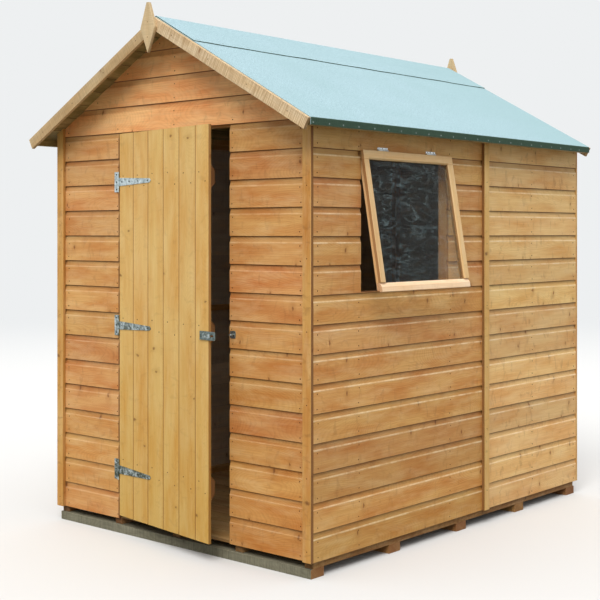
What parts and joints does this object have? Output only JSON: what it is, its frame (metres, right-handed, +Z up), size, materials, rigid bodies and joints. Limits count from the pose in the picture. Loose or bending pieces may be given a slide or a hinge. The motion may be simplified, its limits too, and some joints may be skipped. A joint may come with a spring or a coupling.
{
  "type": "wooden garden shed",
  "caption": "Apex garden shed of shiplap boarding on a timber floor, with a ledged door on hinges, hasp and staple, propped top-hung window, bargeboards, finials.",
  "frame": {"origin": "on the ground at the middle of the walls' plan, on the underside of the middle bearer", "axes": "+Z up, the door end faces -Y, the window side faces +X"},
  "size_m": [1.7938, 2.305, 2.365],
  "materials": {
    "shiplap_boarding": "planed softwood, dipped in golden brown preservative",
    "door_boarding": "planed softwood, dipped in golden brown preservative",
    "ledge_timber": "planed softwood, dipped in golden brown preservative",
    "sash_timber": "planed softwood, dipped in golden brown preservative",
    "barge_timber": "rough-sawn softwood, dipped in golden brown preservative",
    "trim_timber": "planed softwood, dipped in golden brown preservative",
    "roof_boarding": "planed softwood, dipped in golden brown preservative",
    "framing_timber": "planed softwood, dipped in golden brown preservative",
    "joist_timber": "rough-sawn softwood, dipped in golden brown preservative",
    "bearer_timber": "rough-sawn softwood, dipped in golden brown preservative",
    "floor_boarding": "planed softwood, dipped in golden brown preservative",
    "zinc_steel": "bright zinc plate",
    "mineral_felt": "green mineral-faced bitumen roofing felt",
    "window_glass": "clear glazing"
  },
  "bodies": {
    "shed": {"back_wall": "shiplap_boarding", "back_wall_rails": "framing_timber", "back_wall_studs": "framing_timber", "bearers": "bearer_timber", "door_hinge_leaves": "zinc_steel", "finials": "barge_timber", "floor_joists": "joist_timber", "front_bargeboards": "barge_timber", "front_corner_strips": "trim_timber", "front_floor_section": "floor_boarding", "front_gable": "shiplap_boarding", "front_wall_left": "shiplap_boarding", "front_wall_rails": "framing_timber", "front_wall_right": "shiplap_boarding", "front_wall_studs": "framing_timber", "hasp_staple": "zinc_steel", "left_roof_battens": "framing_timber", "left_roof_boards": "roof_boarding", "left_roof_felt": "mineral_felt", "left_wall_front_panel": "shiplap_boarding", "left_wall_rails": "framing_timber", "left_wall_rear_panel": "shiplap_boarding", "left_wall_studs": "framing_timber", "rear_bargeboards": "barge_timber", "rear_corner_strips": "trim_timber", "rear_floor_section": "floor_boarding", "ridge_felt": "mineral_felt", "right_roof_battens": "framing_timber", "right_roof_boards": "roof_boarding", "right_roof_felt": "mineral_felt", "right_wall_rails": "framing_timber", "right_wall_rear_panel": "shiplap_boarding", "right_wall_studs": "framing_timber", "right_wall_window_panel": "shiplap_boarding", "side_cover_strips": "trim_timber", "window_glass": "window_glass", "window_hinges": "zinc_steel", "window_sash_rails": "sash_timber", "window_sash_stiles": "sash_timber", "window_stay": "zinc_steel"},
    "door": {"door_boards": "door_boarding", "door_ledges": "ledge_timber", "door_hinge_straps": "zinc_steel", "hasp_leaf": "zinc_steel"},
    "hasp": {"hasp_strap": "zinc_steel"}
  },
  "joints": [
    {"name": "door_hinge", "type": "hinge", "parent": "shed", "child": "door", "pos_m": [-0.3615, -1.076, 0.95], "axis": [0, 0, -1], "range_deg": [-8.6, 141.4]},
    {"name": "hasp_hinge", "type": "hinge", "parent": "door", "child": "hasp", "pos_m": [0.27081, -1.17163, 0.946], "axis": [0, 0, -1], "range_deg": [0, 165]}
  ]
}
